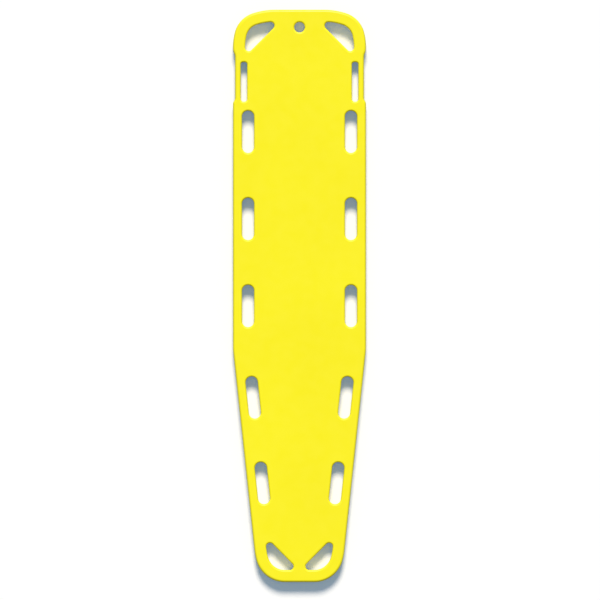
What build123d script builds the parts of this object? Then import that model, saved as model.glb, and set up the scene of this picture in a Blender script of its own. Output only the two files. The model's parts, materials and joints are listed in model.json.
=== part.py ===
from build123d import *
import math
import os

# A rigid board on which a person with a hurt spine is lifted out of the water. Two formed plastic skins
# are welded together half way up the board, along its rim and round each opening, over a foam core.
# The origin is on the ground under the middle of the board. +Y points to the head, +Z up to the deck.

# The board. A size that ends in from_head runs along Y from the head edge.
board_length = 1828.8
board_width = 425.2
body_thickness = 38.0
skin = 3.0
rim_draft_angle = 3.0
rim_radius = 6.5
lip_radius = 5.0

# The sides close in towards the foot. foot_width is between the two sides, run on to the foot edge.
taper_length = 742.8
taper_bend_radius = 150.0
foot_width = 266.2

# An end corner is a run of tangent arcs from the end edge on. The last arc turns what is left.
head_corner_radii = [231.7, 87.0, 195.3]
head_corner_angles = [18.0, 58.1]
foot_corner_radii = [94.3, 206.5]
foot_corner_angles = [74.4]

# A shallow recess in each side keeps the head strap in place. It is measured at the middle of its steps.
recess_depth = 6.5
recess_head_end_from_head = 139.4
recess_foot_end_from_head = 291.6
recess_head_step = 29.0
recess_foot_step = 21.0

# Hand holds along the sides, with hold_inset from the side of the board to the middle of the hold.
# There are as many as fit, from the first on, before the room kept free at the taper and at the foot.
hold_length = 134.5
hold_width = 38.0
hold_inset = 48.2
first_hold_from_head = 390.2
hold_pitch = 278.3
hold_room_at_taper = 100.0
first_hold_past_taper = 153.1
tapered_hold_pitch = 273.4
hold_room_at_foot = 250.0

# A corner hold lies a hand rail away from the edge, and a slanted edge closes it. Run on to the edge of
# the end, the slant meets it this far in from the side at the head, and this far past the middle at
# the foot.
corner_rail = 39.0
corner_hold_radius = 11.5
head_slant_from_side = 187.6
foot_slant_past_middle = 35.6

# Strap slots beside the head, and the hole that the board hangs from.
strap_slot_width = 20.0
strap_slot_length = 126.0
strap_slot_radius = 8.0
strap_slot_from_head = 230.7
strap_bar = 18.6
hang_hole_radius = 16.5
hang_hole_from_head = 56.3

# Two skids on the underside run along the sides of the board, inside the holds.
skid_width = 28.0
skid_height = 6.5
skid_inset = 97.5
skid_draft_angle = 15.0
skid_root_radius = 2.5
skid_edge_radius = 2.0
skid_head_gap = 150.0
skid_foot_gap = 150.0

# The foam core, and the glass fibre rods that lie in grooves of its upper face.
core_clearance = 0.3
rod_diameter = 10.0
rod_clearance = 0.3
inner_rod_x = 30.0
outer_rod_x = 78.0
rod_head_gap = 100.0
rod_foot_gap = 170.0

# Plugs close the ports of the underside: two to fill the board, and two to vent it.
fill_plug_diameter = 26.0
vent_plug_diameter = 16.0
fill_plug_from_end = 560.0
vent_plug_from_end = 190.0
plug_step = 3.5
plug_flange = 1.2
plug_reach = 4.0
plug_chamfer = 1.0
plug_clearance = 0.2

half_length = board_length / 2
half_width = board_width / 2
half_foot = foot_width / 2
half_thickness = body_thickness / 2
weld_height = skid_height + half_thickness
weld_plane = Plane.XY.offset(weld_height)


def from_head(distance):
    """The Y of a place this far from the head edge."""
    return half_length - distance


# The angle of the tapered sides, and the directions along them and in from them. Each side bends where
# its two lines would meet, on an arc that starts short of that corner.
taper = math.atan((half_width - half_foot) / taper_length)
taper_degrees = math.degrees(taper)
up_the_taper = Vector(math.sin(taper), math.cos(taper))
into_the_board = Vector(-math.cos(taper), math.sin(taper))
taper_corner = Vector(half_width, taper_length - half_length)
bend_start = taper_corner - up_the_taper * taper_bend_radius * math.tan(taper / 2)


def corner_arcs(radii, angles, total):
    """The arcs of a corner, (radius, turn), with the last one turning what is left of the total."""
    return list(zip(radii, angles + [total - sum(angles)]))


def corner_reach(arcs):
    """How far the arcs of a corner run along the end edge, and how far away from it."""
    along, away, heading = 0.0, 0.0, 0.0
    for radius, turn in arcs:
        before = math.radians(heading)
        heading += turn
        after = math.radians(heading)
        along += radius * (math.sin(after) - math.sin(before))
        away += radius * (math.cos(before) - math.cos(after))
    return along, away


head_corner = corner_arcs(head_corner_radii, head_corner_angles, 90)
foot_corner = corner_arcs(foot_corner_radii, foot_corner_angles, 90 - taper_degrees)
head_along, head_away = corner_reach(head_corner)
foot_along, foot_away = corner_reach(foot_corner)
head_flat = half_width - head_along
foot_flat = half_foot + foot_away * math.tan(taper) - foot_along


def left_turns(line, arcs):
    """Tangent arcs that turn left from the end of a line, one after another. It gives back the last one."""
    for radius, turn in arcs:
        line = JernArc(line @ 1, line % 1, radius, turn)
    return line


def side_step(line, across, along):
    """Two equal arcs that shift a line to its left, or to its right where across is below nought."""
    turn = 2 * math.atan(across / along)
    radius = along / (2 * math.sin(abs(turn)))
    line = JernArc(line @ 1, line % 1, radius, math.degrees(turn))
    return JernArc(line @ 1, line % 1, radius, -math.degrees(turn))


def board_outline(inset):
    """The outline at the weld, drawn in by inset. Its right half runs from the foot to the head."""
    recess_start = from_head(recess_foot_end_from_head + recess_foot_step / 2)
    recess_end = from_head(recess_head_end_from_head + recess_head_step / 2)
    with BuildSketch(weld_plane) as outline:
        with BuildLine():
            edge = Line((0, -half_length), (foot_flat, -half_length))
            edge = left_turns(edge, foot_corner)
            edge = Line(edge @ 1, bend_start)
            edge = left_turns(edge, [(taper_bend_radius, taper_degrees)])
            edge = Line(edge @ 1, (half_width, recess_start))
            edge = side_step(edge, recess_depth, recess_foot_step)
            edge = Line(edge @ 1, (half_width - recess_depth, recess_end))
            edge = side_step(edge, -recess_depth, recess_head_step)
            edge = Line(edge @ 1, (half_width, half_length - head_away))
            edge = left_turns(edge, reversed(head_corner))
            Line(edge @ 1, (0, half_length))
            mirror(about=Plane.YZ)
        make_face()
        if inset:
            offset(amount=-inset)
    return outline.sketch


def corner_hold(flat, corner, slant_x):
    """A corner hold, as on the right of the foot, with the middle of the end edge at the origin."""
    with BuildSketch() as hold:
        with BuildLine():
            end_rail = Line((0, corner_rail), (flat, corner_rail))
            turn = left_turns(end_rail, [(radius - corner_rail, turn) for radius, turn in corner])
            side_rail = Line(turn @ 1, turn @ 1 + turn % 1 * board_width)
            far_edge = Line(side_rail @ 1, (0, (side_rail @ 1).Y))
            Line(far_edge @ 1, end_rail @ 0)
        make_face()
        with BuildLine():
            far_x = slant_x + board_width
            Polyline((slant_x, 0), (far_x, 0), (far_x, board_width), close=True)
        make_face(mode=Mode.INTERSECT)
        # Drawn in and out again, the outline comes back with its sharp ends rounded.
        offset(amount=-corner_hold_radius)
        offset(amount=corner_hold_radius)
    return hold.sketch


head_hold = corner_hold(head_flat, head_corner, half_width - head_slant_from_side)
foot_hold = corner_hold(foot_flat, foot_corner, -foot_slant_past_middle)


def pattern(first, last, pitch):
    """Places a pitch apart, from the first on, as many as fit before the last."""
    return [first + i * pitch for i in range(1 + int((last - first) / pitch))]


def openings(grow):
    """Every opening that goes through the board, widened all round by grow."""
    slot_x = half_width - recess_depth - strap_bar - strap_slot_width / 2
    with BuildSketch(weld_plane) as holes:
        with Locations((0, -half_length)):
            add(foot_hold)
        with Locations(Location((0, half_length, 0), (0, 0, 180))):
            add(head_hold)
        last_straight = board_length - taper_length - hold_room_at_taper
        for distance in pattern(first_hold_from_head, last_straight, hold_pitch):
            with Locations((half_width - hold_inset, from_head(distance))):
                SlotOverall(hold_length, hold_width, rotation=90)
        last_tapered = taper_length - hold_room_at_foot
        for distance in pattern(first_hold_past_taper, last_tapered, tapered_hold_pitch):
            side_x = half_width - distance * math.tan(taper)
            with Locations((side_x - hold_inset / math.cos(taper), taper_corner.Y - distance)):
                SlotOverall(hold_length, hold_width, rotation=90 - taper_degrees)
        with Locations((slot_x, from_head(strap_slot_from_head))):
            RectangleRounded(strap_slot_width, strap_slot_length, strap_slot_radius)
        mirror(about=Plane.YZ)
        with Locations((0, from_head(hang_hole_from_head))):
            Circle(hang_hole_radius)
        if grow:
            offset(amount=grow)
    return holes.sketch


def skid_outlines(inset):
    """Both skids where they leave the body, drawn in by inset. Each runs from the foot to the head."""
    bend = bend_start + into_the_board * skid_inset
    foot_end = bend - up_the_taper * (bend.Y + half_length - skid_foot_gap) / math.cos(taper)
    with BuildSketch(Plane.XY.offset(weld_height + half_thickness - inset)) as skids:
        with BuildLine(mode=Mode.PRIVATE) as path:
            run = Line(foot_end, bend)
            run = left_turns(run, [(taper_bend_radius - skid_inset, taper_degrees)])
            Line(run @ 1, ((run @ 1).X, from_head(skid_head_gap)))
        with BuildLine():
            offset(path.line, amount=skid_width / 2 - inset, side=Side.BOTH)
        make_face()
        mirror(about=Plane.YZ)
    return skids.sketch


def ease(edges, radius, inset):
    """Rounds outer edges. Inner ones get the chamfer that leaves the skin its full thickness behind."""
    if inset:
        chamfer(edges, length=(radius - inset) * (2 - math.sqrt(2)))
    else:
        fillet(edges, radius=radius)


def half_board(inset, skids=False):
    """The board above its weld, shrunk by inset all over. With skids it is the lower half, upside down."""
    with BuildPart() as half:
        extrude(board_outline(inset), amount=half_thickness - inset, taper=rim_draft_angle)
        ease(half.faces().sort_by(Axis.Z)[-1].edges(), rim_radius, inset)
        extrude(openings(inset), amount=half_thickness, mode=Mode.SUBTRACT)
        lip_wires = half.faces().sort_by(Axis.Z)[-1].inner_wires()
        ease([edge for wire in lip_wires for edge in wire.edges()], lip_radius, inset)
        if skids:
            extrude(skid_outlines(inset), amount=skid_height, taper=skid_draft_angle)
        if skids and not inset:
            soles = half.faces().sort_by(Axis.Z)[-2:]
            fillet(soles.edges(), radius=skid_edge_radius)
            body_face = half.faces().filter_by(Plane.XY).sort_by(Axis.Z)[-3]
            roots = [wire for wire in body_face.inner_wires() if wire.length > board_length]
            fillet([edge for wire in roots for edge in wire.edges()], radius=skid_root_radius)
    return half.part


deck_body = half_board(0)
deck_hollow = half_board(skin)
base_body = half_board(0, skids=True)
base_hollow = half_board(skin, skids=True)
core_inset = skin + core_clearance
core_top = half_board(core_inset)
core_bottom = half_board(core_inset, skids=True)

# Places of the ports along the middle of the underside.
ports = {
    "fill_plug_head": (from_head(fill_plug_from_end), fill_plug_diameter),
    "fill_plug_foot": (fill_plug_from_end - half_length, fill_plug_diameter),
    "vent_plug_head": (from_head(vent_plug_from_end), vent_plug_diameter),
    "vent_plug_foot": (vent_plug_from_end - half_length, vent_plug_diameter),
}

with BuildPart() as deck_shell:
    add(deck_body)
    add(deck_hollow, mode=Mode.SUBTRACT)

with BuildPart() as base_shell:
    add(base_body)
    add(base_hollow, mode=Mode.SUBTRACT)
    mirror(about=weld_plane, mode=Mode.REPLACE)
    for port_y, diameter in ports.values():
        with Locations(Plane((0, port_y, skid_height), z_dir=(0, 0, -1))):
            seat_radius = diameter / 2 + plug_clearance
            CounterBoreHole(seat_radius - plug_step, seat_radius, plug_flange, depth=skin)

rod_radius = rod_diameter / 2
groove_radius = rod_radius + rod_clearance
rod_height = weld_height + half_thickness - skin - rod_clearance - rod_radius
rod_head_y = from_head(rod_head_gap)
rod_length = board_length - rod_head_gap - rod_foot_gap
rod_places = {
    "stiffener_left_outer": -outer_rod_x,
    "stiffener_left_inner": -inner_rod_x,
    "stiffener_right_inner": inner_rod_x,
    "stiffener_right_outer": outer_rod_x,
}

with BuildPart() as foam_core:
    add(core_bottom)
    mirror(about=weld_plane, mode=Mode.REPLACE)
    add(core_top)
    with BuildSketch(Plane.XZ.offset(-rod_head_y - rod_clearance)):
        with Locations(*[(x, rod_height) for x in rod_places.values()]):
            Circle(groove_radius)
            Rectangle(2 * groove_radius, body_thickness, align=(Align.CENTER, Align.MIN))
    extrude(amount=rod_length + 2 * rod_clearance, mode=Mode.SUBTRACT)
    for port_y, diameter in ports.values():
        with Locations(Plane((0, port_y, skid_height + skin), z_dir=(0, 0, -1))):
            pocket_radius = diameter / 2 - plug_step + plug_clearance
            Hole(pocket_radius, depth=plug_reach + plug_clearance)

pieces = {"deck_shell": deck_shell, "base_shell": base_shell, "foam_core": foam_core}

for name, rod_x in rod_places.items():
    with BuildPart() as stiffener:
        with BuildSketch(Plane.XZ.offset(-rod_head_y)):
            with Locations((rod_x, rod_height)):
                Circle(rod_radius)
        extrude(amount=rod_length)
    pieces[name] = stiffener

for name, (port_y, diameter) in ports.items():
    with BuildPart() as plug:
        with BuildSketch(Plane.XY.offset(skid_height)):
            with Locations((0, port_y)):
                Circle(diameter / 2)
        extrude(amount=plug_flange)
        with BuildSketch(Plane.XY.offset(skid_height + plug_flange)):
            with Locations((0, port_y)):
                Circle(diameter / 2 - plug_step)
        extrude(amount=skin - plug_flange + plug_reach)
        chamfer(plug.faces().sort_by(Axis.Z)[-1].edges(), length=plug_chamfer)
    pieces[name] = plug

os.makedirs("parts", exist_ok=True)
for name, piece in pieces.items():
    piece.part.label = name
    export_step(piece.part, f"parts/{name}.step")
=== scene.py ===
# %% [markdown]
# # A spine board in Blender
# A spine board carries a person flat on the back out of the water. It is made of two formed plastic
# skins, welded together half way up the board, with foam and four stiff rods between them. The packed
# CAD board says where every piece is, so it is loaded first. The dressed board has to end up exactly
# as large.

# %% Load the imported board
import json
import math

import bmesh
import bpy
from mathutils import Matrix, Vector

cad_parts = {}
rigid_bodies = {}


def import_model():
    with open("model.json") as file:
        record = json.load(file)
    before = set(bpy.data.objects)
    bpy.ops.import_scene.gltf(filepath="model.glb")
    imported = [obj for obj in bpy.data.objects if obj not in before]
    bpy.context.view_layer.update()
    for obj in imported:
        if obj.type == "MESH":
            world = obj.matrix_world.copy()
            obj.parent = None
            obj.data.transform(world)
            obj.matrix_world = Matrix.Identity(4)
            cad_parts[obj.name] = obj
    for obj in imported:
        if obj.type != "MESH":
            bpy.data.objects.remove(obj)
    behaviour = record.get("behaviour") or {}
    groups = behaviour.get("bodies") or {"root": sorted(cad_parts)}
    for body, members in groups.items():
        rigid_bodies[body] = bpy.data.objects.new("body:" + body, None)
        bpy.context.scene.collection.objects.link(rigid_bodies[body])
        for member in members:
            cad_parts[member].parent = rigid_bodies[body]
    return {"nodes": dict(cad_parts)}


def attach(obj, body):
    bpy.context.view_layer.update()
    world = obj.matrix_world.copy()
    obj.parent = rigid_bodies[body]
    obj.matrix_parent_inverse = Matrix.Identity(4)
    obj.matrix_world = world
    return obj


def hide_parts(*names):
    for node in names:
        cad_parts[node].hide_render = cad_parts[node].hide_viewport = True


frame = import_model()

for leftover in [o for o in bpy.data.objects if o.name in ("Cube", "Light", "Camera")]:
    bpy.data.objects.remove(leftover)
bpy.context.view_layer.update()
print("nodes:", ", ".join(sorted(frame["nodes"])))

# %% [markdown]
# Blender works in metres, and a board maker works in millimetres. So each size below is written in
# millimetres and multiplied by mm. The sizes are those of the CAD board. The one new size is the weld
# bead: where two hot skins are pressed together, a little plastic is squeezed out along the join. The
# walls stand back from it by the width of the bead, and the crest of the bead keeps the CAD outline.

# %% Sizes of the board
mm = 0.001
merge_distance = 0.01 * mm
half_length = 1828.8 / 2 * mm
half_width = 425.2 / 2 * mm
half_foot = 266.2 / 2 * mm
half_thickness = 38.0 / 2 * mm
skid_height = 6.5 * mm
weld_height = skid_height + half_thickness
skin = 3.0 * mm
weld_bead = 0.3 * mm

taper_length = 742.8 * mm
taper_angle = math.atan((half_width - half_foot) / taper_length)
taper = math.degrees(taper_angle)
bend_radius = 150.0 * mm
print("the sides close in by", round(taper, 2), "degrees towards the foot")

# %% [markdown]
# Every outline of the board is lines and arcs that flow into each other. In the editor one would draw
# them as a curve. Here a pen grows a chain of edges in a bmesh: a line extrudes the last point, and an
# arc spins it about a centre at its side. At each point the pen also notes which way is out of the
# shape. That is worth keeping, because walls, drafts and rounded edges are then all made in one way,
# by pushing the outline along that direction.

# %% A pen for lines and arcs
def out_layer(bm):
    """The layer that says, at each point of an outline, which way is out of it."""
    layers = bm.verts.layers.float_vector
    return layers.get("out") or layers.new("out")


class Pen:
    """Draws a chain of edges, anticlockwise round a shape. Angles are in degrees, left is positive."""

    def __init__(self, bm, place, heading):
        self.bm, self.heading, self.out = bm, heading, out_layer(bm)
        self.tip = bm.verts.new(place)
        self.tip[self.out] = self.right()

    def ahead(self):
        angle = math.radians(self.heading)
        return Vector((math.cos(angle), math.sin(angle), 0))

    def right(self):
        return Vector((self.ahead().y, -self.ahead().x, 0))

    def line(self, length):
        self.tip = bmesh.ops.extrude_vert_indiv(self.bm, verts=[self.tip])["verts"][0]
        bmesh.ops.translate(self.bm, verts=[self.tip], vec=self.ahead() * length)

    def line_to_x(self, x):
        self.line((x - self.tip.co.x) / self.ahead().x)

    def line_to_y(self, y):
        self.line((y - self.tip.co.y) / self.ahead().y)

    def arc(self, radius, turn):
        side = math.copysign(1, turn)
        centre = self.tip.co - self.right() * radius * side
        longest, widest = 6 * mm, 6.0
        steps = math.ceil(max(radius * math.radians(abs(turn)) / longest, abs(turn) / widest))
        known = len(self.bm.verts)
        spun = bmesh.ops.spin(self.bm, geom=[self.tip], cent=centre, axis=(0, 0, 1),
                              angle=math.radians(turn), steps=steps)
        self.bm.verts.ensure_lookup_table()
        for point in self.bm.verts[known:]:
            point[self.out] = (point.co - centre).normalized() * side
        self.heading += turn
        self.tip = spun["geom_last"][0]


# %% [markdown]
# Only the right half of the board is drawn. The mirror operator makes the left half, and the out
# directions of the copied points have to be turned round too. Each drawing is kept as a small mesh of
# edges, because both skins are later grown from the same lines.

# %% Mirror and keep a drawing
def keep_drawing(bm, name, mirrored=True):
    """Mirrors what is drawn to the left of the board, merges the joins and keeps it as a mesh."""
    if mirrored:
        bmesh.ops.mirror(bm, geom=bm.verts[:] + bm.edges[:], axis="X", merge_dist=merge_distance)
        for point in bm.verts:
            if point.co.x < 0:
                point[out_layer(bm)].x *= -1
    bmesh.ops.remove_doubles(bm, verts=bm.verts, dist=merge_distance)
    mesh = bpy.data.meshes.new(name)
    bm.to_mesh(mesh)
    bm.free()
    print(name, "has", len(mesh.vertices), "points and", len(mesh.edges), "edges")
    return mesh


# %% [markdown]
# The rim runs from the middle of the foot to the middle of the head. Each corner is a run of tangent
# arcs. A side is straight from the head down to a soft bend, and then closes in. Beside the head each
# side has a shallow recess that keeps a head strap from sliding. Its steps are pairs of equal arcs,
# and its ends are measured from the head, at the middle of the steps.

# %% Draw the rim
head_corner = [(231.7 * mm, 18.0), (87.0 * mm, 58.1), (195.3 * mm, 90 - 18.0 - 58.1)]
foot_corner = [(94.3 * mm, 74.4), (206.5 * mm, 90 - taper - 74.4)]
recess_depth = 6.5 * mm
recess_foot_end, recess_foot_step = 291.6 * mm, 21.0 * mm
recess_head_end, recess_head_step = 139.4 * mm, 29.0 * mm


def corner_reach(arcs):
    """How far a corner runs along its end edge, and how far away from it."""
    bm = bmesh.new()
    pen = Pen(bm, (0, 0, 0), 0)
    for radius, turn in arcs:
        pen.arc(radius, turn)
    reach = pen.tip.co.copy()
    bm.free()
    return reach.x, reach.y


def step_aside(pen, across, along):
    """Two equal arcs that shift the pen to its left, or to its right where across is below nought."""
    turn = 2 * math.atan(across / along)
    radius = along / (2 * math.sin(abs(turn)))
    pen.arc(radius, math.degrees(turn))
    pen.arc(radius, -math.degrees(turn))


head_along, head_away = corner_reach(head_corner)
foot_along, foot_away = corner_reach(foot_corner)
head_flat = half_width - head_along
foot_flat = half_foot + foot_away * math.tan(taper_angle) - foot_along

bend_back = bend_radius * math.tan(taper_angle / 2)
bend_y = taper_length - half_length - bend_back * math.cos(taper_angle)
bend_x = half_width - bend_back * math.sin(taper_angle)

rim = bmesh.new()
pen = Pen(rim, (0, -half_length, 0), 0)
pen.line(foot_flat)
for radius, turn in foot_corner:
    pen.arc(radius, turn)
pen.line_to_y(bend_y)
pen.arc(bend_radius, taper)
pen.line_to_y(half_length - recess_foot_end - recess_foot_step / 2)
step_aside(pen, recess_depth, recess_foot_step)
pen.line_to_y(half_length - recess_head_end - recess_head_step / 2)
step_aside(pen, -recess_depth, recess_head_step)
pen.line_to_y(half_length - head_away)
for radius, turn in reversed(head_corner):
    pen.arc(radius, turn)
pen.line_to_x(0)
rim_line = keep_drawing(rim, "rim_line")

# %% [markdown]
# The openings come in three shapes, and all of them are a few corners with the same radius round each:
# two corners make a hand hold, four make a strap slot, and a whole run of them makes a corner hold. So
# one helper draws them all. It sorts the corners round their middle and turns the pen at each.

# %% Draw a loop round corners
def rounded_loop(bm, corners, radius):
    """A loop that goes round corners of a convex shape, anticlockwise, with this radius at each."""
    middle = sum(corners, Vector()) / len(corners)
    corners = sorted(corners, key=lambda c: math.atan2(c.y - middle.y, c.x - middle.x))
    edges = [after - corner for corner, after in zip(corners, corners[1:] + corners[:1])]
    headings = [math.degrees(math.atan2(edge.y, edge.x)) for edge in edges]
    start = Vector((math.sin(math.radians(headings[-1])), -math.cos(math.radians(headings[-1])), 0))
    pen = Pen(bm, corners[0] + start * radius, headings[-1])
    for i, edge in enumerate(edges):
        turn = round(headings[i] - headings[i - 1], 3) % 360
        if turn:
            pen.arc(radius, turn)
        pen.line(edge.length)


# %% [markdown]
# A corner hold follows its corner at the width of a hand rail, and a slanted edge at 45 degrees closes
# it. To round its two sharp ends, think of a coin that rolls round inside the hold. The pen draws the
# path of the coin's middle beside the rail, and bisect_plane cuts that path off where the coin meets
# the slanted edge. What is left are the corners that the loop has to go round.

# %% Draw the openings
hold_length, hold_width, hold_inset = 134.5 * mm, 38.0 * mm, 48.2 * mm
first_hold, hold_pitch = 390.2 * mm, 278.3 * mm
first_hold_past_bend, tapered_hold_pitch = 153.1 * mm, 273.4 * mm
corner_rail, coin = 39.0 * mm, 11.5 * mm
head_slant_from_side, foot_slant_past_middle = 187.6 * mm, 35.6 * mm
slot_length, slot_width, slot_radius = 126.0 * mm, 20.0 * mm, 8.0 * mm
slot_from_head, strap_bar = 230.7 * mm, 18.6 * mm


def corner_hold(flat, arcs, slant_x):
    """The corners of a hold, as on the right of the foot, from the middle of the end edge."""
    bm = bmesh.new()
    pen = Pen(bm, (0, corner_rail + coin, 0), 0)
    pen.line(flat)
    for radius, turn in arcs:
        pen.arc(radius - corner_rail - coin, turn)
    pen.line(half_width)
    bmesh.ops.bisect_plane(bm, geom=bm.verts[:] + bm.edges[:], plane_co=(slant_x + coin * math.sqrt(2), 0, 0),
                           plane_no=(-1, 1, 0), clear_outer=True)
    corners = [point.co.copy() for point in bm.verts]
    bm.free()
    return corners


def hand_hold(bm, x, y, heading):
    """A hold with round ends, with its length along the heading."""
    angle = math.radians(heading)
    reach = Vector((math.cos(angle), math.sin(angle), 0)) * (hold_length - hold_width) / 2
    rounded_loop(bm, [Vector((x, y, 0)) + reach, Vector((x, y, 0)) - reach], hold_width / 2)


openings = bmesh.new()
foot_hold = corner_hold(foot_flat, foot_corner, -foot_slant_past_middle)
rounded_loop(openings, [Vector((c.x, c.y - half_length, 0)) for c in foot_hold], coin)
head_hold = corner_hold(head_flat, head_corner, half_width - head_slant_from_side)
rounded_loop(openings, [Vector((c.x, half_length - c.y, 0)) for c in head_hold], coin)

for hold in range(3):
    hand_hold(openings, half_width - hold_inset, half_length - first_hold - hold_pitch * hold, 90)
for hold in range(2):
    past_bend = first_hold_past_bend + tapered_hold_pitch * hold
    side_x = half_width - past_bend * math.tan(taper_angle)
    x = side_x - hold_inset / math.cos(taper_angle)
    hand_hold(openings, x, taper_length - half_length - past_bend, 90 - taper)

slot = Vector((half_width - recess_depth - strap_bar - slot_width / 2, half_length - slot_from_head, 0))
slot_x, slot_y = slot_width / 2 - slot_radius, slot_length / 2 - slot_radius
slot_corners = [slot + Vector((x, y, 0)) for x in (-slot_x, slot_x) for y in (-slot_y, slot_y)]
rounded_loop(openings, slot_corners, slot_radius)
openings_line = keep_drawing(openings, "openings_line")

# %% [markdown]
# A full circle needs no pen: create_circle draws it. The hole near the head edge is what the board
# hangs from on a hook, and the four round ports in the underside were used to fill and vent the board.

# %% Draw the round holes
hang_hole_from_head, hang_hole_radius = 56.3 * mm, 16.5 * mm
fill_plug_from_end, fill_plug_radius = 560.0 * mm, 13.0 * mm
vent_plug_from_end, vent_plug_radius = 190.0 * mm, 8.0 * mm
round_segments = 64


def draw_circle(bm, y, radius):
    """A circle on the middle line of the board, with its out directions."""
    known = len(bm.verts)
    bmesh.ops.create_circle(bm, segments=round_segments, radius=radius)
    bm.verts.ensure_lookup_table()
    for point in bm.verts[known:]:
        point[out_layer(bm)] = point.co.normalized()
        point.co.y += y


hang_hole = bmesh.new()
out_layer(hang_hole)
draw_circle(hang_hole, half_length - hang_hole_from_head, hang_hole_radius)
hang_hole_line = keep_drawing(hang_hole, "hang_hole_line", mirrored=False)

plug_clearance = 0.2 * mm
plugs = {
    "fill_plug_head": (half_length - fill_plug_from_end, fill_plug_radius),
    "fill_plug_foot": (fill_plug_from_end - half_length, fill_plug_radius),
    "vent_plug_head": (half_length - vent_plug_from_end, vent_plug_radius),
    "vent_plug_foot": (vent_plug_from_end - half_length, vent_plug_radius),
}
ports = bmesh.new()
out_layer(ports)
for port_y, plug_radius in plugs.values():
    draw_circle(ports, port_y, plug_radius + plug_clearance)
ports_line = keep_drawing(ports, "ports_line", mirrored=False)

# %% [markdown]
# Two skids on the underside keep fingers clear of the ground. They run beside the holds and bend with
# the sides, so their edges are arcs about the same centre as the bend of the side.

# %% Draw the skids
skid_half_width, skid_inset, skid_end_gap = 14.0 * mm, 97.5 * mm, 150.0 * mm
skid_foot_y, skid_head_y = skid_end_gap - half_length, half_length - skid_end_gap

up_the_taper = Vector((math.sin(taper_angle), math.cos(taper_angle), 0))
into_the_board = Vector((-math.cos(taper_angle), math.sin(taper_angle), 0))
skid_bend = Vector((bend_x, bend_y, 0)) + into_the_board * skid_inset
skid_run = (skid_bend.y - skid_foot_y) / math.cos(taper_angle)
bend_centre = skid_bend + into_the_board * (bend_radius - skid_inset)

skids = bmesh.new()
pen = Pen(skids, skid_bend - up_the_taper * skid_run - into_the_board * skid_half_width, 90 - taper)
pen.line(skid_run)
pen.arc(bend_radius - skid_inset + skid_half_width, taper)
pen.line_to_y(skid_head_y)
pen.arc(skid_half_width, 180)
pen.line_to_y(bend_centre.y)
pen.arc(bend_radius - skid_inset - skid_half_width, -taper)
pen.line(skid_run)
pen.arc(skid_half_width, 180)
skids_line = keep_drawing(skids, "skids_line")

# %% [markdown]
# A wall is grown from a drawing ring by ring. Its profile is a short list of steps, each a distance out
# of the outline and a height. The edges of the last ring are extruded, and their new points are pushed
# along their own out direction. So one profile fits the long rim and the smallest slot alike, which a
# bevel would not: its width would have to be tuned to the length of each edge.

# %% Grow a wall from a drawing
def grow_wall(bm, drawing, profile):
    """Adds a drawing to the mesh and grows a wall on it. It gives back the first and the last ring."""
    out = out_layer(bm)
    older = set(bm.verts) | set(bm.edges)
    bm.from_mesh(drawing)
    points = [point for point in bm.verts if point not in older]
    ring = first_ring = [edge for edge in bm.edges if edge not in older]
    sideways, height = 0, 0
    for step, (next_sideways, next_height) in enumerate(profile):
        if step:
            grown = bmesh.ops.extrude_edge_only(bm, edges=ring)["geom"]
            points = [part for part in grown if isinstance(part, bmesh.types.BMVert)]
            fresh = set(points)
            edges = [part for part in grown if isinstance(part, bmesh.types.BMEdge)]
            ring = [edge for edge in edges if fresh.issuperset(edge.verts)]
        for point in points:
            point.co += point[out] * (next_sideways - sideways) + Vector((0, 0, next_height - height))
        sideways, height = next_sideways, next_height
    return first_ring, ring


# %% [markdown]
# The profiles come next. Each starts on the crest of the weld bead and steps back from it. The rim wall
# then leans in by 3 degrees, so that the skin leaves its mould, and rolls over to the flat face on a
# radius of 6.5 mm. The wall of an opening is upright and rolls over on 5 mm. Behind each roll lies one
# more ring on the flat. It holds the shading level there, or smooth shading would make the large flat
# face look blown up.

# %% Profiles of the walls
rim_draft = math.radians(3.0)
rim_radius, lip_radius = 6.5 * mm, 5.0 * mm
flat_ring = 1.5 * mm
roll_steps = 8
crest_height, foot_of_bead = 0.4 * mm, 0.9 * mm


def rolled(centre, radius, start, end, steps=roll_steps):
    """Points of an arc in a profile, from one angle to another."""
    angles = [start + (end - start) * i / steps for i in range(steps + 1)]
    return [(centre[0] + radius * math.cos(a), centre[1] + radius * math.sin(a)) for a in angles]


rim_roll_height = half_thickness - rim_radius
rim_roll_in = weld_bead + rim_roll_height * math.tan(rim_draft) + rim_radius / math.cos(rim_draft)
rim_profile = [(0, 0), (0, crest_height), (-weld_bead, foot_of_bead)]
rim_profile += rolled((-rim_roll_in, rim_roll_height), rim_radius, rim_draft, math.pi / 2)
rim_profile += [(-rim_roll_in - flat_ring, half_thickness)]

lip_roll_height = half_thickness - lip_radius
opening_profile = [(0, 0), (0, crest_height), (weld_bead, foot_of_bead)]
opening_profile += rolled((weld_bead + lip_radius, lip_roll_height), lip_radius, math.pi, math.pi / 2)
opening_profile += [(weld_bead + lip_radius + flat_ring, half_thickness)]


def above_weld(profile):
    return [(out, weld_height + height) for out, height in profile]


def below_weld(profile):
    return [(out, weld_height - height) for out, height in profile]


print("the rim rolls over", round(rim_roll_in / mm, 2), "mm in from the edge")

# %% [markdown]
# A grown skin is closed with triangle_fill, which lays a flat face between the rim and all the openings
# at once. Then the normals are recalculated, and only after that solidify gives the skin its wall,
# inwards. Where a rolled edge is, the skin rubs against the ground and other boards, so each point also
# gets a wear value: it is one on the middle of a roll, and nought on flat and upright faces.

# %% Close a skin and give it its wall
sharpest_smooth_edge = math.radians(35)


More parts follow.
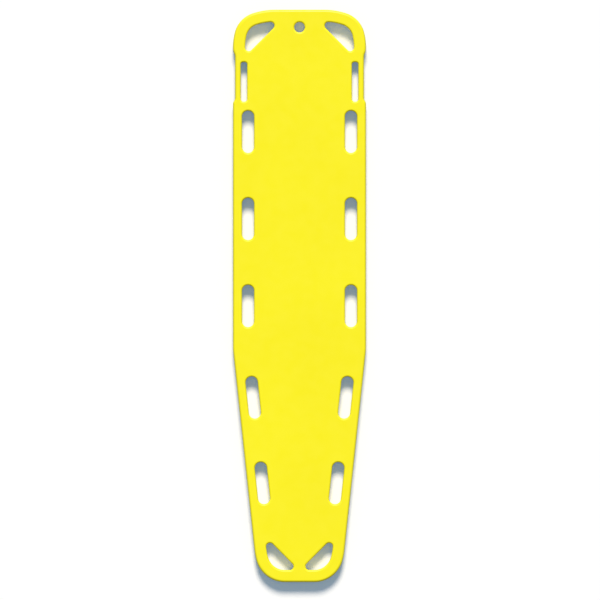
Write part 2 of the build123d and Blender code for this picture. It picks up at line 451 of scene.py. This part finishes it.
def close_skin(bm, rings, facing):
    """Fills the flat face between rings, which looks along facing, and makes the skin solid."""
    bmesh.ops.triangle_fill(bm, edges=rings, use_beauty=True, normal=(0, 0, facing))
    bmesh.ops.recalc_face_normals(bm, faces=bm.faces)
    flat = max(bm.faces, key=lambda face: abs(face.normal.z) * face.calc_area())
    if flat.normal.z * facing < 0:
        bmesh.ops.reverse_faces(bm, faces=bm.faces)
    bm.normal_update()
    wear = bm.verts.layers.float.new("wear")
    for point in bm.verts:
        upright = min(1, abs(point.normal.z))
        point[wear] = 2 * upright * math.sqrt(1 - upright * upright)
    bmesh.ops.solidify(bm, geom=bm.faces[:], thickness=skin - weld_bead)
    bm.verts.layers.float_vector.remove(out_layer(bm))


def make_piece(bm, name, slot, *nodes):
    """Makes a mesh object of a bmesh, which rides on the board and stands for its CAD nodes."""
    open_edges = sum(not edge.is_manifold for edge in bm.edges)
    mesh = bpy.data.meshes.new(name)
    bm.to_mesh(mesh)
    bm.free()
    mesh.shade_smooth()
    mesh.set_sharp_from_angle(angle=sharpest_smooth_edge)
    piece = bpy.data.objects.new(name, mesh)
    bpy.context.scene.collection.objects.link(piece)
    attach(piece, "root")
    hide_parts(*nodes)
    print(name, "has", len(mesh.polygons), "faces and", open_edges, "open edges")
    return piece


# %% [markdown]
# The deck skin is the upper half of the board: the face that a person lies on. Three walls are grown
# from the weld up, on the rim, the openings and the hang hole, and one flat face joins them.

# %% The deck skin
deck = bmesh.new()
out_layer(deck)
walls = [(rim_line, rim_profile), (openings_line, opening_profile), (hang_hole_line, opening_profile)]
deck_rings = []
for drawing, profile in walls:
    deck_rings += grow_wall(deck, drawing, above_weld(profile))[1]
close_skin(deck, deck_rings, facing=1)
deck_skin = make_piece(deck, "deck_skin", "skin", "deck_shell")

# %% [markdown]
# The base skin has the same walls, grown downwards, and two skids. A skid meets the underside in a
# small hollow radius, leans in by 15 degrees and has a rounded sole. Its wall starts on the flat face,
# so here the first ring is the one that the flat face is joined to, and the last one closes the sole.
# The ports are round holes with a broken edge.

# %% The base skin
skid_draft = math.radians(15.0)
root_radius, sole_radius = 2.5 * mm, 2.0 * mm

root_start = root_radius * (1 - math.sin(skid_draft))
root_out = root_radius * math.cos(skid_draft) - root_start * math.tan(skid_draft)
sole_start = skid_height - sole_radius * (1 - math.sin(skid_draft))
sole_out = -sole_start * math.tan(skid_draft) - sole_radius * math.cos(skid_draft)

skid_profile = [(root_out + flat_ring, 0)]
skid_profile += rolled((root_out, root_radius), root_radius, -math.pi / 2, skid_draft - math.pi)
skid_profile += rolled((sole_out, skid_height - sole_radius), sole_radius, skid_draft, math.pi / 2)
skid_profile += [(sole_out - flat_ring, skid_height)]
port_edge = 0.4 * mm

base = bmesh.new()
out_layer(base)
base_rings = []
for drawing, profile in walls:
    base_rings += grow_wall(base, drawing, below_weld(profile))[1]
flat_ends, soles = grow_wall(base, skids_line, [(out, skid_height - depth) for out, depth in skid_profile])
base_rings += flat_ends
bmesh.ops.triangle_fill(base, edges=soles, use_beauty=True, normal=(0, 0, -1))
base_rings += grow_wall(base, ports_line, [(port_edge, skid_height), (0, skid_height + port_edge)])[0]
close_skin(base, base_rings, facing=-1)
base_skin = make_piece(base, "base_skin", "skin", "base_shell")

# %% [markdown]
# A plug is turned, so half of its section is drawn as a chain of edges and spun once round the upright
# axis. A full turn is spun with use_merge, or a seam would stay open. The section has the flush cap, a
# broken edge, a shallow ring and the small dimple that its mould leaves in the middle, and behind them
# the shank that goes into the foam.

# %% The plugs
cap_height, shank_step, shank_end = 1.2 * mm, 3.5 * mm, 7.0 * mm
for name, (plug_y, plug_radius) in plugs.items():
    section = [
        (0, 0.5 * mm), (1.2 * mm, 0.4 * mm), (1.6 * mm, 0), (plug_radius * 0.62, 0),
        (plug_radius * 0.62 + 0.4 * mm, 0.35 * mm), (plug_radius * 0.62 + 1.0 * mm, 0.35 * mm),
        (plug_radius * 0.62 + 1.4 * mm, 0), (plug_radius - 0.4 * mm, 0), (plug_radius, 0.4 * mm),
        (plug_radius, cap_height), (plug_radius - shank_step, cap_height),
        (plug_radius - shank_step, shank_end - 1.0 * mm), (plug_radius - shank_step - 1.0 * mm, shank_end),
        (0, shank_end),
    ]
    plug = bmesh.new()
    tip = plug.verts.new((section[0][0], plug_y, skid_height + section[0][1]))
    for radius, height in section[1:]:
        tip = bmesh.ops.extrude_vert_indiv(plug, verts=[tip])["verts"][0]
        tip.co = (radius, plug_y, skid_height + height)
    bmesh.ops.spin(plug, geom=plug.verts[:] + plug.edges[:], cent=(0, plug_y, 0), axis=(0, 0, 1),
                   angle=math.tau, steps=round_segments, use_merge=True)
    bmesh.ops.remove_doubles(plug, verts=plug.verts, dist=merge_distance)
    bmesh.ops.recalc_face_normals(plug, faces=plug.faces)
    make_piece(plug, name + "_turned", "plug", name)

# %% [markdown]
# Now the finishes. Each material starts from the same few nodes: a Principled shader, and the object's
# own coordinates, which stay put when the board is moved. The helpers keep the long node calls short.

# %% Helpers for materials
def new_material(name):
    """A material with its shader, and the object coordinates that its patterns are laid out on."""
    material = bpy.data.materials.new(name)
    material.use_nodes = True
    nodes = material.node_tree.nodes
    place = nodes.new("ShaderNodeTexCoord").outputs["Object"]
    return material, nodes["Principled BSDF"], place


def add_node(material, kind, settings=None, **inputs):
    """A node with its settings and inputs. An input is a value, or the output of another node."""
    node = material.node_tree.nodes.new(kind)
    for key, value in (settings or {}).items():
        setattr(node, key, value)
    for key, value in inputs.items():
        socket = node.inputs[key.replace("_", " ")]
        if isinstance(value, bpy.types.NodeSocket):
            material.node_tree.links.new(value, socket)
        else:
            socket.default_value = value
    return node


def connect(material, output, socket):
    material.node_tree.links.new(output, socket)


def stretched(material, place, scale):
    """The coordinates, drawn out along an axis where its scale is small."""
    return add_node(material, "ShaderNodeMapping", Vector=place, Scale=scale).outputs["Vector"]


def noise(material, place, scale, detail=2.0, roughness=0.5):
    return add_node(material, "ShaderNodeTexNoise", Vector=place, Scale=scale, Detail=detail,
                    Roughness=roughness).outputs["Fac"]


def ramp(material, value, low, high, to_low=0.0, to_high=1.0):
    """Maps a value from one range to another, and keeps it inside."""
    names = {"From Min": low, "From Max": high, "To Min": to_low, "To Max": to_high}
    node = add_node(material, "ShaderNodeMapRange", Value=value)
    for key, number in names.items():
        node.inputs[key].default_value = number
    return node.outputs["Result"]


def feed(material, sockets, values):
    """Gives each socket its value, or links it to the output that is given."""
    for socket, value in zip(sockets, values):
        if isinstance(value, bpy.types.NodeSocket):
            material.node_tree.links.new(value, socket)
        else:
            socket.default_value = value


def blend_colours(material, amount, one, other):
    """Mixes two colours by an amount. On a colour mix, sockets 0, 6 and 7 are the amount and the two."""
    node = add_node(material, "ShaderNodeMix", {"data_type": "RGBA"})
    feed(material, (node.inputs[0], node.inputs[6], node.inputs[7]), (amount, one, other))
    return node.outputs[2]


def times(material, one, other):
    node = add_node(material, "ShaderNodeMath", {"operation": "MULTIPLY"})
    feed(material, node.inputs, (one, other))
    return node.outputs[0]


def plus(material, one, other):
    node = add_node(material, "ShaderNodeMath", {"operation": "ADD"})
    feed(material, node.inputs, (one, other))
    return node.outputs[0]


def raised(material, height, strength, distance, below=None):
    """A bump of a height, laid over another bump where one is given."""
    node = add_node(material, "ShaderNodeBump", Height=height, Strength=strength, Distance=distance)
    if below:
        material.node_tree.links.new(below, node.inputs["Normal"])
    return node.outputs["Normal"]


# %% [markdown]
# The skins are polyethylene, coloured right through. From a distance such a board is one even yellow.
# Close up, the mould has left a fine pebbled grain, the pigment drifts a little from place to place,
# the face waves slightly where the foam has pulled it, and scuffs run along the board, more of them on
# the rolled edges. The soles of the skids stand on concrete, so they are scoured grey and dull.

# %% Polyethylene
yellow = (0.985, 0.890, 0.003, 1)
deep_yellow = (0.965, 0.862, 0.002, 1)
scuffed_yellow = (0.93, 0.86, 0.12, 1)
scoured_yellow = (0.50, 0.46, 0.17, 1)


def polyethylene(name, scoured=False):
    material, shader, place = new_material(name)
    drift = ramp(material, noise(material, place, 3.0, 3.0), 0.35, 0.65)
    colour = blend_colours(material, drift, yellow, deep_yellow)

    lengthwise = stretched(material, place, (60.0, 7.0, 60.0))
    scuffs = ramp(material, noise(material, lengthwise, 6.0, 6.0, 0.62), 0.62, 0.78)
    patches = ramp(material, noise(material, place, 7.0, 2.0), 0.45, 0.7)
    scuffs = times(material, scuffs, patches)
    worn_edge = add_node(material, "ShaderNodeAttribute", {"attribute_name": "wear"}).outputs["Fac"]
    rubbed = ramp(material, noise(material, place, 55.0, 4.0, 0.6), 0.50, 0.72)
    rubbed = times(material, ramp(material, worn_edge, 0.55, 1.0), rubbed)
    colour = blend_colours(material, times(material, scuffs, 0.28), colour, scuffed_yellow)
    colour = blend_colours(material, times(material, rubbed, 0.35), colour, scuffed_yellow)

    gloss = ramp(material, noise(material, place, 28.0, 3.0), 0.3, 0.7, 0.40, 0.50)
    roughness = plus(material, gloss, times(material, scuffs, 0.15))

    if scoured:
        height = add_node(material, "ShaderNodeSeparateXYZ", Vector=place).outputs["Z"]
        sole = ramp(material, height, 0.0010, 0.0002)
        drawn_out = stretched(material, place, (220.0, 9.0, 220.0))
        streaks = ramp(material, noise(material, drawn_out, 3.0, 5.0, 0.65), 0.40, 0.62)
        worn = times(material, sole, streaks)
        colour = blend_colours(material, times(material, worn, 0.55), colour, scoured_yellow)
        roughness = plus(material, roughness, times(material, worn, 0.25))

    waves = raised(material, noise(material, place, 16.0, 2.0), 0.25, 0.0006)
    grain = add_node(material, "ShaderNodeTexVoronoi", {"feature": "SMOOTH_F1"}, Vector=place, Scale=620.0,
                     Smoothness=0.8).outputs["Distance"]
    grain = raised(material, grain, 0.30, 0.00012, waves)
    scratches = raised(material, scuffs, 0.35, 0.00008, grain)

    connect(material, colour, shader.inputs["Base Color"])
    connect(material, roughness, shader.inputs["Roughness"])
    connect(material, scratches, shader.inputs["Normal"])
    shader.inputs["IOR"].default_value = 1.51
    return material


deck_skin.data.materials.append(polyethylene("deck_polyethylene"))
base_skin.data.materials.append(polyethylene("base_polyethylene", scoured=True))

# %% [markdown]
# The plugs are turned from the same plastic, so their faces show the fine rings of the lathe. A Wave
# texture in rings round the upright axis makes them. A Mapping node moves the middle of the rings to
# the middle of each plug. The colour is a little deeper, because the stock came from another batch.

# %% Turned plug plastic
def turned_plastic(name, centre_y):
    material, shader, place = new_material(name)
    centred = add_node(material, "ShaderNodeMapping", Vector=place,
                       Location=(0, -centre_y, 0)).outputs["Vector"]
    rings = add_node(material, "ShaderNodeTexWave", {"wave_type": "RINGS", "rings_direction": "Z"},
                     Vector=centred, Scale=420.0, Distortion=0.6, Detail=1.0).outputs["Fac"]
    drift = ramp(material, noise(material, place, 90.0, 3.0), 0.35, 0.65)
    colour = blend_colours(material, drift, (0.94, 0.80, 0.012, 1), (0.90, 0.74, 0.010, 1))
    connect(material, colour, shader.inputs["Base Color"])
    connect(material, ramp(material, rings, 0, 1, 0.34, 0.50), shader.inputs["Roughness"])
    connect(material, raised(material, rings, 0.35, 0.00006), shader.inputs["Normal"])
    return material


for name, (plug_y, plug_radius) in plugs.items():
    bpy.data.objects[name + "_turned"].data.materials.append(turned_plastic(name + "_plastic", plug_y))

# %% [markdown]
# The core and the rods are the CAD pieces themselves: nothing shows of them until the board is cut
# open, and their shape is right as it is. They still get the finish of the real stuff. The foam is
# cream and closed-celled, with painted shade that darkens the hollows of its cells. A rod is pultruded
# glass fibre, with its strands running along it in pale green resin.

# %% Foam and glass fibre
def closed_cell_foam():
    material, shader, place = new_material("closed_cell_foam")
    cells = add_node(material, "ShaderNodeTexVoronoi", Vector=place, Scale=450.0).outputs["Distance"]
    drift = noise(material, place, 12.0, 4.0)
    cream = blend_colours(material, drift, (0.90, 0.84, 0.66, 1), (0.80, 0.72, 0.50, 1))
    # Painted shade: the colour is darkened towards brown in the hollows of the cells.
    colour = blend_colours(material, ramp(material, cells, 0.25, 0.75), cream, (0.62, 0.53, 0.34, 1))
    connect(material, colour, shader.inputs["Base Color"])
    connect(material, raised(material, cells, 0.6, 0.0004), shader.inputs["Normal"])
    shader.inputs["Roughness"].default_value = 0.92
    return material


def glass_fibre():
    material, shader, place = new_material("glass_fibre")
    strands = noise(material, stretched(material, place, (900.0, 6.0, 900.0)), 1.0, 4.0, 0.6)
    resin, strand = (0.55, 0.60, 0.42, 1), (0.80, 0.82, 0.66, 1)
    colour = blend_colours(material, ramp(material, strands, 0.35, 0.65), resin, strand)
    connect(material, colour, shader.inputs["Base Color"])
    connect(material, ramp(material, strands, 0.3, 0.7, 0.22, 0.42), shader.inputs["Roughness"])
    connect(material, raised(material, strands, 0.3, 0.0001), shader.inputs["Normal"])
    return material


foam, fibre = closed_cell_foam(), glass_fibre()
for name, node in frame["nodes"].items():
    node.data.materials.clear()
    node.data.materials.append(fibre if name.startswith("stiffener") else foam)
finishes = {slot.material.name for piece in bpy.data.objects for slot in piece.material_slots}
print("finishes:", ", ".join(sorted(finishes)))

# %% [markdown]
# The board is photographed from straight above on white, with soft light from beyond its head: each
# opening has a shadow under its head end. A sun lamp gives the same light on the whole board, and its
# wide angle softens the shadows. The world fills in from all sides. Together they light a level white
# face to about white, so the yellow comes out as it is written.

# %% Light
key_height = math.radians(46.0)
key_share, total_light = 0.82, 1.02
key = bpy.data.lights.new("key_light", "SUN")
key.angle = math.radians(19.0)
key.energy = key_share * math.pi / math.sin(key_height)
key_lamp = bpy.data.objects.new("key_light", key)
key_lamp.rotation_euler = (key_height - math.pi / 2, 0, 0)
bpy.context.scene.collection.objects.link(key_lamp)

world = bpy.data.worlds.new("soft_surround")
bpy.context.scene.world = world
world.use_nodes = True
surround = world.node_tree.nodes["Background"]
seen = world.node_tree.nodes.new("ShaderNodeLightPath")
white_or_fill = world.node_tree.nodes.new("ShaderNodeMix")
white_or_fill.data_type = "RGBA"
fill = total_light - key_share
white_or_fill.inputs[6].default_value = (fill, fill, fill, 1)
white_or_fill.inputs[7].default_value = (1, 1, 1, 1)
world.node_tree.links.new(seen.outputs["Is Camera Ray"], white_or_fill.inputs[0])
world.node_tree.links.new(white_or_fill.outputs[2], surround.inputs["Color"])
print("key light", round(key.energy, 2), "and fill", round(fill, 2))

# %% [markdown]
# The floor is white paper. To the camera it adds a little blue-grey light of its own, and takes as much
# from what it reflects. Lit paper then still is white, and the paper in a shadow has the blue-grey of
# the photograph. The light that the floor throws back on the board is plain and weak.

# %% Floor
shadow_colour = (0.05, 0.15, 0.27)
thrown_back, floor_reach = 0.45, 30
paper = bpy.data.materials.new("white_paper")
paper.use_nodes = True
paper_nodes, paper_links = paper.node_tree.nodes, paper.node_tree.links
paper_nodes.clear()
seen = paper_nodes.new("ShaderNodeLightPath")
reflected = paper_nodes.new("ShaderNodeMix")
reflected.data_type = "RGBA"
reflected.inputs[6].default_value = (thrown_back, thrown_back, thrown_back, 1)
reflected.inputs[7].default_value = (*[1 - share for share in shadow_colour], 1)
paper_links.new(seen.outputs["Is Camera Ray"], reflected.inputs[0])
matt = paper_nodes.new("ShaderNodeBsdfDiffuse")
paper_links.new(reflected.outputs[2], matt.inputs["Color"])
glow = paper_nodes.new("ShaderNodeEmission")
glow.inputs["Color"].default_value = (*shadow_colour, 1)
paper_links.new(seen.outputs["Is Camera Ray"], glow.inputs["Strength"])
both = paper_nodes.new("ShaderNodeAddShader")
paper_links.new(matt.outputs[0], both.inputs[0])
paper_links.new(glow.outputs[0], both.inputs[1])
paper_out = paper_nodes.new("ShaderNodeOutputMaterial")
paper_links.new(both.outputs[0], paper_out.inputs["Surface"])

floor = bmesh.new()
bmesh.ops.create_grid(floor, x_segments=1, y_segments=1, size=floor_reach)
floor_mesh = bpy.data.meshes.new("floor")
floor.to_mesh(floor_mesh)
floor.free()
floor_mesh.materials.append(paper)
floor_object = bpy.data.objects.new("floor", floor_mesh)
bpy.context.scene.collection.objects.link(floor_object)
print("the floor is", floor_object.dimensions.x, "m wide")

# %% [markdown]
# The camera looks straight down through a long lens: no inner wall of a hold shows in the photograph,
# so it was taken from far away. In the picture the frame is 1.92 m wide at the height of the weld, and
# the middle of the board lies a little above and left of the middle of the frame.

# %% Camera
frame_width, lens = 1.9168, 800.0
camera = bpy.data.cameras.new("camera")
camera.lens, camera.sensor_width = lens, 36.0
camera.clip_end = 100.0
camera_object = bpy.data.objects.new("camera", camera)
camera_object.location = (0.0016, -0.0129, weld_height + frame_width * lens / camera.sensor_width)
bpy.context.scene.collection.objects.link(camera_object)
bpy.context.scene.camera = camera_object
bpy.context.scene.view_settings.view_transform = "Standard"
print("the camera stands", round(camera_object.location.z, 2), "m above the floor")

# %% [markdown]
# At the end the drawings are removed. The box of the dressed board has to be the CAD box, apart from
# rounding.

# %% Remove the drawings
for drawing in (rim_line, openings_line, hang_hole_line, ports_line, skids_line):
    bpy.data.meshes.remove(drawing)
